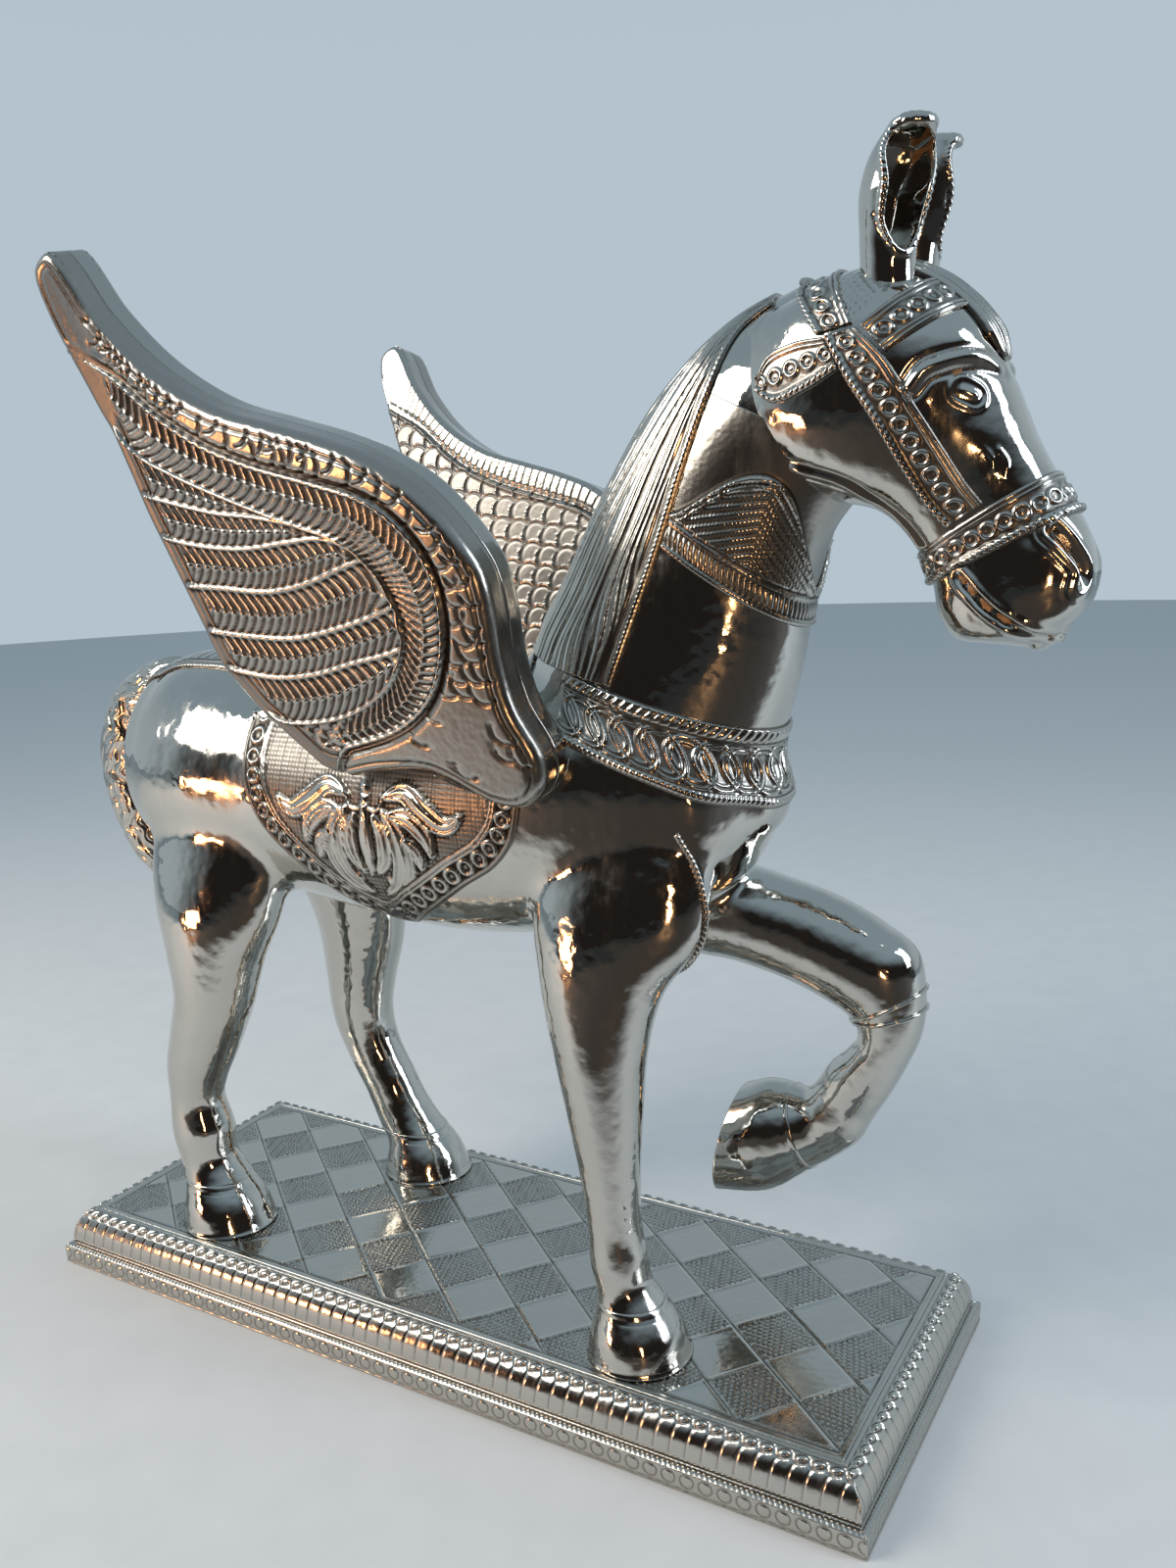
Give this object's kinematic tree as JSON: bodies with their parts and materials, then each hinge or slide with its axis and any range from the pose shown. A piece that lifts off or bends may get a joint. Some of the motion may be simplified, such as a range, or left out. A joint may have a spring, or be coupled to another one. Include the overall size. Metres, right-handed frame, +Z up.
{
  "type": "winged horse sculpture",
  "caption": "Winged horse stepping with one foreleg raised on a rectangular plinth; carved wood clad in thin chased white-metal sheet.",
  "frame": {"origin": "middle of the plinth's underside, the face it rests on", "axes": "+X the way the horse looks and walks, along the plinth's length; +Y the horse's left; +Z up"},
  "size_m": [0.4708, 0.1907, 0.4684],
  "materials": {
    "board_wood": "sawn hardwood, unvarnished",
    "carved_wood": "carved softwood",
    "dowel_wood": "turned hardwood",
    "screw_steel": "plain steel",
    "plinth_sheet": "white-metal sheet, chased chequers and gadroons, polished and matted",
    "polished_sheet": "white-metal sheet, hand hammered over wood and mirror polished",
    "hair_sheet": "white-metal sheet, engraved hair lines",
    "feather_sheet": "white-metal sheet, chased feathers and scales, toned dark in the grooves",
    "stamped_sheet": "white-metal sheet, stamped rings and leaves, toned dark in the grooves"
  },
  "bodies": {
    "root": {"breast_collar": "stamped_sheet", "brow_band": "stamped_sheet", "crown_strap": "stamped_sheet", "crupper_strap": "stamped_sheet", "forelock_sheet": "hair_sheet", "head_dowel": "dowel_wood", "head_sheet": "polished_sheet", "head_wood": "carved_wood", "left_cheek_strap": "stamped_sheet", "left_ear_sheet": "polished_sheet", "left_fore_hoof_sheet": "polished_sheet", "left_fore_leg_dowel": "dowel_wood", "left_forearm_sheet": "polished_sheet", "left_forearm_wood": "carved_wood", "left_hind_hoof_sheet": "polished_sheet", "left_hind_leg_dowel": "dowel_wood", "left_hind_leg_screw": "screw_steel", "left_hind_leg_sheet": "polished_sheet", "left_hind_leg_wood": "carved_wood", "left_shin_sheet": "polished_sheet", "left_shin_wood": "carved_wood", "left_wing_board": "carved_wood", "left_wing_dowel": "dowel_wood", "left_wing_inner_sheet": "feather_sheet", "left_wing_outer_sheet": "feather_sheet", "mane_sheet": "hair_sheet", "neck_dowel": "dowel_wood", "neck_sheet": "polished_sheet", "neck_wood": "carved_wood", "nose_band": "stamped_sheet", "plinth_board": "board_wood", "plinth_edge_sheet_head_end": "plinth_sheet", "plinth_edge_sheet_left": "plinth_sheet", "plinth_edge_sheet_right": "plinth_sheet", "plinth_edge_sheet_tail_end": "plinth_sheet", "plinth_top_sheet": "plinth_sheet", "right_cheek_strap": "stamped_sheet", "right_ear_sheet": "polished_sheet", "right_fore_hoof_sheet": "polished_sheet", "right_fore_leg_dowel": "dowel_wood", "right_fore_leg_screw": "screw_steel", "right_fore_leg_sheet": "polished_sheet", "right_fore_leg_wood": "carved_wood", "right_hind_hoof_sheet": "polished_sheet", "right_hind_leg_dowel": "dowel_wood", "right_hind_leg_screw": "screw_steel", "right_hind_leg_sheet": "polished_sheet", "right_hind_leg_wood": "carved_wood", "right_wing_board": "carved_wood", "right_wing_dowel": "dowel_wood", "right_wing_inner_sheet": "feather_sheet", "right_wing_outer_sheet": "feather_sheet", "saddle_cloth": "stamped_sheet", "tail_dowel": "dowel_wood", "tail_sheet": "hair_sheet", "tail_wood": "carved_wood", "throat_collar": "stamped_sheet", "trunk_sheet_left": "polished_sheet", "trunk_sheet_right": "polished_sheet", "trunk_wood": "carved_wood"}
  },
  "joints": []
}
